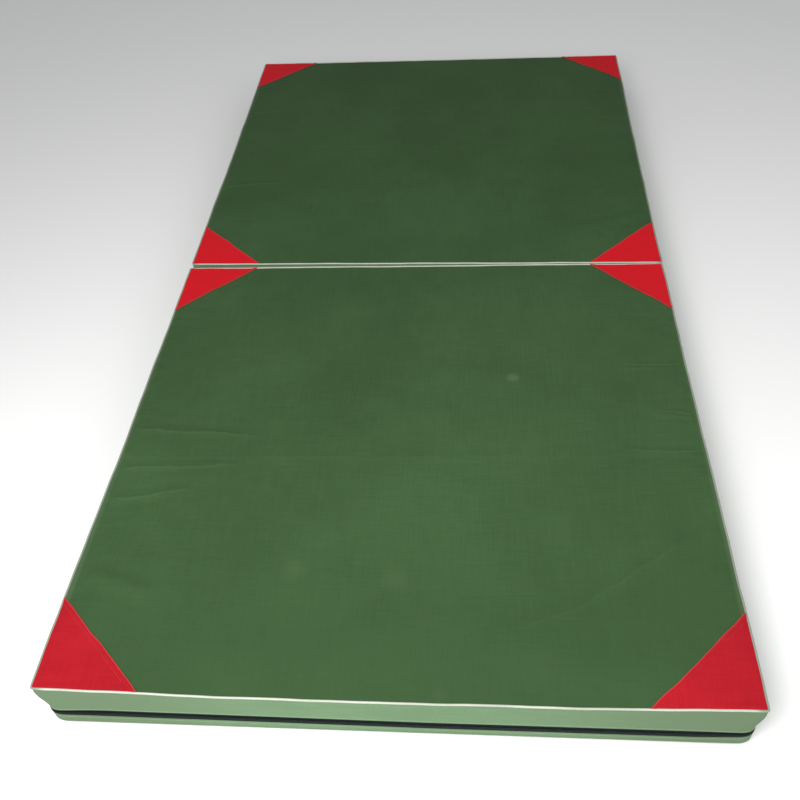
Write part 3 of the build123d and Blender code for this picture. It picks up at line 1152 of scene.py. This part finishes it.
def top_wear_and_shading(tree, axes, colour, height):
    """Marks on a top: gathers from the long seams, creases with a painted highlight and painted shade
    beside their folds, pale spots, painted shade at the near end and worn edges.
    """
    place = add(tree, "TexCoord", output="Object")
    from_middle = add(tree, "Math", axes[0], operation="ABSOLUTE")
    by_seam = add(tree, "MapRange", from_middle, 0.3, 0.49, interpolation_type="SMOOTHSTEP")
    gathers = add(tree, "TexNoise", add(tree, "Mapping", place, Scale=(7, 85, 1)), 1.0, 3.0, 0.6)
    height = add(
        tree,
        "Math",
        height,
        add(
            tree,
            "Math",
            add(tree, "Math", gathers, by_seam, operation="MULTIPLY"),
            9.0,
            operation="MULTIPLY",
        ),
        operation="ADD",
    )
    broad = add(tree, "TexNoise", add(tree, "Mapping", place, Scale=(2.2, 26, 1)), 1.0, 3.0, 0.55)
    height = add(
        tree,
        "Math",
        height,
        add(tree, "Math", broad, 6.0, operation="MULTIPLY"),
        operation="ADD",
    )
    folds = add(tree, "TexNoise", place, 9.0, 4.0, 0.6)
    height = add(
        tree,
        "Math",
        height,
        add(tree, "Math", folds, 5.0, operation="MULTIPLY"),
        operation="ADD",
    )
    fold = add(tree, "Attribute", attribute_name="crease", output="Vector")
    fold = add(tree, "SeparateXYZ", Vector=fold).node.outputs
    crooked = add(
        tree,
        "Math",
        add(tree, "Math", add(tree, "TexNoise", place, 14.0, 3.0, 0.6), 0.5, operation="SUBTRACT"),
        0.022,
        operation="MULTIPLY",
    )
    aside = add(tree, "Math", fold[0], crooked, operation="ADD")
    valley = add(
        tree,
        "MapRange",
        add(tree, "Math", aside, operation="ABSOLUTE"),
        0.0,
        0.0042,
        1.0,
        0.0,
        interpolation_type="SMOOTHSTEP",
    )
    valley = add(tree, "Math", valley, fold[1], operation="MULTIPLY")
    height = add(
        tree,
        "Math",
        height,
        add(tree, "Math", valley, 2.6, operation="MULTIPLY"),
        operation="SUBTRACT",
    )
    # Painted highlight: a paler line beside each fold, on one side of it.
    crease_highlight = add(
        tree,
        "Math",
        add(
            tree,
            "MapRange",
            add(tree, "Math", add(tree, "Math", aside, 0.003, operation="ADD"), operation="ABSOLUTE"),
            0,
            0.004,
            0.2,
            0,
            interpolation_type="SMOOTHSTEP",
        ),
        fold[1],
        operation="MULTIPLY",
    )
    colour = add(tree, "Mix", crease_highlight, colour, "#57734f", data_type="RGBA")
    # Painted shade: a darker line beside each fold, on its other side.
    shaded = add(
        tree,
        "Math",
        add(
            tree,
            "MapRange",
            add(
                tree,
                "Math",
                add(tree, "Math", aside, 0.002, operation="SUBTRACT"),
                operation="ABSOLUTE",
            ),
            0,
            0.004,
            0.3,
            0,
            interpolation_type="SMOOTHSTEP",
        ),
        fold[1],
        operation="MULTIPLY",
    )
    colour = add(tree, "Mix", shaded, colour, "#263a21", data_type="RGBA")
    # Pale spots at given places on the near top.
    spots = [((0.182, -0.354), 0.012, 0.22), ((-0.158, -0.790), 0.020, 0.07)]
    spots += [((-0.004, -0.805), 0.020, 0.07), ((0.070, -0.989), 0.012, 0.10)]
    for (x, y), radius, strength in spots:
        gap = add(tree, "VectorMath", place, (x, y, 0.1), operation="DISTANCE")
        share = add(
            tree,
            "MapRange",
            gap,
            radius * 0.3,
            radius * 1.4,
            strength,
            0.0,
            interpolation_type="SMOOTHSTEP",
        )
        colour = add(tree, "Mix", share, colour, "#6f8263", data_type="RGBA")
    # Painted shade: the top turns darker towards the near end of the near panel.
    near_end_shade = add(tree, "MapRange", axes[1], -0.97, -0.6, 0.5, 0.0, interpolation_type="SMOOTHSTEP")
    colour = add(tree, "Mix", near_end_shade, colour, "#30482a", data_type="RGBA")
    worn_edge = add(
        tree,
        "MapRange",
        add(tree, "Math", axes[0], operation="ABSOLUTE"),
        0.4905,
        0.4965,
        0.0,
        0.22,
        interpolation_type="SMOOTHSTEP",
    )
    colour = add(tree, "Mix", worn_edge, colour, "#62765a", data_type="RGBA")
    return colour, height


def patch_highlights_and_stitches(tree, axes, colour, height):
    """On a patch, painted light that brightens the red towards the far panel, a painted highlight along the
    fold of its long edge, and the dip of each row of stitches.
    """
    place = add(tree, "TexCoord", output="Object")
    depth = add(tree, "Attribute", attribute_name="depth", output="Fac")
    # Painted light: the red turns brighter from the near end of the near panel towards the far panel.
    painted_far_light = add(tree, "MapRange", axes[1], -0.9, 0.1, interpolation_type="SMOOTHSTEP")
    colour = add(tree, "Mix", painted_far_light, colour, "#cb1420", data_type="RGBA")
    # Painted highlight: a paler line along the fold of the patch's long edge.
    fold = add(tree, "MapRange", depth, 0.0006, 0.002, 0.22, 0.0, interpolation_type="SMOOTHSTEP")
    colour = add(tree, "Mix", fold, colour, "#d2685c", data_type="RGBA")
    for row in (0.0022, 0.0076):
        gap = add(
            tree,
            "Math",
            add(tree, "Math", depth, row, operation="SUBTRACT"),
            operation="ABSOLUTE",
        )
        height = add(
            tree,
            "Math",
            height,
            add(tree, "MapRange", gap, 0.0, 0.0016, 2.0, 0.0, interpolation_type="SMOOTHSTEP"),
            operation="SUBTRACT",
        )
    folds = add(tree, "TexNoise", place, 14.0, 3.0, 0.6)
    height = add(
        tree,
        "Math",
        height,
        add(tree, "Math", folds, 6.0, operation="MULTIPLY"),
        operation="ADD",
    )
    return colour, height


def wall_seams(tree, axes, colour, height):
    """On the walls, the upright seams beside the hinge wall, slack ripples, and a tone that turns darker
    towards the bottom, towards the ends and on the long sides.
    """
    place = add(tree, "TexCoord", output="Object")
    gap = add(
        tree,
        "Math",
        add(
            tree,
            "Math",
            add(tree, "Math", axes[1], operation="ABSOLUTE"),
            zip_reach,
            operation="SUBTRACT",
        ),
        operation="ABSOLUTE",
    )
    seam = add(tree, "MapRange", gap, 0.0002, 0.0011, interpolation_type="SMOOTHSTEP")
    colour = add(tree, "Mix", seam, "#4b6347", colour, data_type="RGBA")
    height = add(
        tree,
        "Math",
        height,
        add(tree, "Math", seam, 4.0, operation="MULTIPLY"),
        operation="ADD",
    )
    ripples = add(tree, "TexNoise", add(tree, "Mapping", place, Scale=(28, 28, 5)), 1.0, 3.0, 0.55)
    height = add(
        tree,
        "Math",
        height,
        add(tree, "Math", ripples, 9.0, operation="MULTIPLY"),
        operation="ADD",
    )
    # The walls turn darker towards the bottom.
    darker_low = add(tree, "MapRange", axes[2], 0.0, 0.022, 0.35, 0.0, interpolation_type="SMOOTHSTEP")
    colour = add(tree, "Mix", darker_low, colour, "#55694f", data_type="RGBA")
    # Darker and greyer towards the ends of each wall and all along the long side walls.
    darker_toward_sides = add(
        tree,
        "MapRange",
        add(tree, "Math", axes[0], operation="ABSOLUTE"),
        0.1,
        0.46,
        0.0,
        0.8,
        interpolation_type="SMOOTHSTEP",
    )
    colour = add(tree, "Mix", darker_toward_sides, colour, "#63775a", data_type="RGBA")
    return colour, height


top_finish = canvas(
    "Dark green coated canvas", "#385231", "#344d2d", "#3d5836", 0.74, extra=top_wear_and_shading
)
patch_finish = canvas("Red coated canvas", "#9f1520", "#95121c", "#a71924", 0.68, extra=patch_highlights_and_stitches)
side_finish = canvas(
    "Pale green coated canvas", "#6a8765", "#64815f", "#728d6c", 0.72, on_wall=True, extra=wall_seams
)
base_finish = canvas("Dark green base canvas", "#30472b", "#2c4228", "#354c30", 0.8)
print("canvases", [m.name for m in (top_finish, patch_finish, side_finish, base_finish)])

# %% [markdown]
# The small parts each have their own finish: soft vinyl on the piping, woven polyester on the
# zip's tapes, drawn nylon for the coil, painted die-cast zinc for the slider, spun thread for the
# stitches, and two foams inside: a soft block with a firm sheet on it.

# %% The small finishes
def grained(name, colour, other, roughness, scale, bump, painted_side_shade=None, **settings):
    """A finish of one colour with a fine grain, and, when asked, painted shade darkening it along the long
    sides.
    """
    material, tree, shader = finish_of(name, roughness, **settings)
    place = add(tree, "TexCoord", output="Object")
    grain = add(tree, "TexNoise", place, scale, 3.0, 0.6)
    patches_of_tone = add(tree, "TexNoise", place, scale / 40, 2.0, 0.5)
    share = add(
        tree,
        "Math",
        add(tree, "Math", grain, patches_of_tone, operation="ADD"),
        0.5,
        operation="MULTIPLY",
    )
    colour_out = add(
        tree,
        "Mix",
        add(tree, "MapRange", share, 0.35, 0.65, interpolation_type="SMOOTHSTEP"),
        colour,
        other,
        data_type="RGBA",
    )
    # Painted shade: the finish darkens along the long sides of the panel.
    if painted_side_shade:
        axes = add(tree, "SeparateXYZ", Vector=place).node.outputs
        darker_toward_sides = add(
            tree,
            "MapRange",
            add(tree, "Math", axes[0], operation="ABSOLUTE"),
            0.48,
            0.497,
            0.0,
            0.75,
            interpolation_type="SMOOTHSTEP",
        )
        colour_out = add(tree, "Mix", darker_toward_sides, colour_out, painted_side_shade, data_type="RGBA")
    bumped = add(tree, "Bump", Strength=0.5, Distance=bump, Height=grain)
    tree.links.new(colour_out, shader.inputs["Base Color"])
    tree.links.new(
        add(
            tree,
            "MapRange",
            patches_of_tone,
            0.3,
            0.7,
            roughness - 0.05,
            roughness + 0.08,
            interpolation_type="SMOOTHSTEP",
        ),
        shader.inputs["Roughness"],
    )
    tree.links.new(bumped, shader.inputs["Normal"])
    return material


piping_finish = grained(
    "Soft vinyl piping", "#b7bbad", "#a6aa9a", 0.5, 900, 0.00008, painted_side_shade="#6f7a69", IOR=1.52
)
coil_finish = grained("Black nylon coil", "#0a0f11", "#12181a", 0.55, 1500, 0.00004, Specular_IOR_Level=0.2)
metal_finish = grained("Black painted zinc", "#1a1d1f", "#26292b", 0.36, 600, 0.00003, Metallic=0.0)
thread_finish = grained("Pale spun thread", "#87a07e", "#768f6e", 0.85, 1800, 0.0001)
red_thread_finish = grained("Red spun thread", "#ae222c", "#981a24", 0.85, 1800, 0.0001)
firm_foam_finish = grained("Firm polyethylene foam", "#e9e6da", "#dcd8c8", 0.9, 260, 0.0006)
soft_foam_finish = grained("Soft polyurethane foam", "#e8dfae", "#d8cd96", 0.95, 420, 0.0008)


def woven_tape(name, colour, other):
    """A narrow woven tape: fine ribs along its length."""
    material, tree, shader = finish_of(name, 0.82, Specular_IOR_Level=0.15)
    place = add(tree, "TexCoord", output="Object")
    axes = add(tree, "SeparateXYZ", Vector=place).node.outputs
    weave = plain_weave(tree, add(tree, "Math", axes[0], axes[1], operation="ADD"), axes[2], 1.2)
    grain = add(tree, "TexNoise", place, 800, 2.0, 0.6)
    colour_out = add(
        tree,
        "Mix",
        add(tree, "MapRange", grain, 0.3, 0.7, interpolation_type="SMOOTHSTEP"),
        colour,
        other,
        data_type="RGBA",
    )
    height = add(tree, "Math", weave, grain, operation="ADD")
    bumped = add(tree, "Bump", Strength=0.6, Distance=0.0001, Height=height)
    tree.links.new(colour_out, shader.inputs["Base Color"])
    tree.links.new(bumped, shader.inputs["Normal"])
    return material


tape_finish = woven_tape("Black woven tape", "#11181a", "#1a2224")
print("small finishes made")

# %% [markdown]
# ## Joining everything to the frame
#
# Each finished piece rides on the body it is sewn to, stands for its CAD node, and takes the finish of that
# node.

# %% Ride, replace and declare
def dress(piece, finish, slot_name, *nodes, body=None):
    """Give a piece its finish, its nodes and its body; slot_name is not used."""
    piece.data.materials.clear()
    piece.data.materials.append(finish)
    if nodes:
        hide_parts(*nodes)
    if body:
        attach(piece, body)


width = 2 * half_width
length = 2 * half_length
band_walk = width + 2 * (panel_middle + half_length - zip_reach)
wall_walk = width + 2 * (zip_reach - (panel_middle - half_length))
bottom_flat = (width - 2 * bottom_radius, length - 2 * bottom_radius)
cover_finishes = {
    "top_sheet": (top_finish, "top_canvas", (width, length), "stretched"),
    "bottom_sheet": (base_finish, "base_canvas", bottom_flat, "laid"),
    "hinge_wall": (side_finish, "side_canvas", (wall_walk, 0.1037), "stretched"),
    "lower_band": (side_finish, "side_canvas", (band_walk, 0.0314), "stretched"),
    "upper_band": (side_finish, "side_canvas", (band_walk, seam_height - zip_high), "stretched"),
}
for (panel, cut), piece in covers.items():
    finish, slot_name, flat, held = cover_finishes[cut]
    dress(piece, finish, slot_name, f"{panel}_{cut}", body=bodies[panel])
for (panel, corner), piece in patches.items():
    dress(piece, patch_finish, "patch_canvas", f"{panel}_patch_{corner}", body=bodies[panel])
for panel, piece in pipings.items():
    dress(piece, piping_finish, "piping_vinyl", f"{panel}_piping", body=bodies[panel])
for (panel, half), piece in tapes.items():
    dress(piece, tape_finish, "zip_tape", f"{panel}_zip_tape_{half}", body=bodies[panel])
for (panel, half), piece in teeth.items():
    dress(piece, coil_finish, "zip_coil", f"{panel}_zip_teeth_{half}", body=bodies[panel])
for name, (piece, panel) in stitches.items():
    on_patch = "patch" in name
    finish = red_thread_finish if on_patch else thread_finish
    dress(piece, finish, "patch_canvas" if on_patch else "side_canvas", body=bodies[panel])
for (panel, layer), piece in foams.items():
    finish = soft_foam_finish if layer == "foam_block" else firm_foam_finish
    slot_name = "soft_foam" if layer == "foam_block" else "firm_foam"
    dress(piece, finish, slot_name, f"{panel}_{layer}", body=bodies[panel])
for panel in HINGE_SIDE:
    for node in (f"{panel}_zip_stops", f"{panel}_zip_slider", f"{panel}_zip_pull_tab"):
        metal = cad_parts[node]
        metal.data.materials.clear()
        metal.data.materials.append(metal_finish)

dress(strip, side_finish, "side_canvas", "hinge_strip")
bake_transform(strip)

# %% [markdown]
# ## Floor and studio light
#
# The floor is plain and pale. A large soft light stands in front, to the left, close to the near
# panel, so the far panel is darker, as cloth is that lies further from a window. A pale sky fills
# the shadows.

# %% Add the floor, the sky and the lights
floor_finish, _, floor_shader = finish_of("Matt white floor", 0.9)
floor_shader.inputs["Base Color"].default_value = linear("#f4f4f2")
bpy.ops.object.select_all(action="DESELECT")
bpy.ops.mesh.primitive_plane_add(size=40, location=(0, 0, -0.0006))
floor = bpy.context.object
floor.name = "studio_floor"
floor.data.materials.append(floor_finish)

sky = bpy.data.worlds.new("studio_sky")
sky.use_nodes = True
sky.node_tree.nodes["Background"].inputs["Color"].default_value = linear("#fbfcff")
sky.node_tree.nodes["Background"].inputs["Strength"].default_value = 0.42
bpy.context.scene.world = sky


def soft_light(name, place, target, size, power):
    """A square soft light at a place, turned to a target."""
    data = bpy.data.lights.new(name, "AREA")
    data.size = size
    data.energy = power
    light = bpy.data.objects.new(name, data)
    light.location = place
    light.rotation_euler = (Vector(target) - Vector(place)).to_track_quat("-Z", "Y").to_euler()
    bpy.context.collection.objects.link(light)
    print(name, "at", place, "with", power, "W")


soft_light("key_light", (-0.35, -1.75, 1.55), (0, -0.6, 0), 1.1, 44)
soft_light("fill_light", (1.6, -1.5, 1.8), (0, -0.2, 0), 1.6, 14)
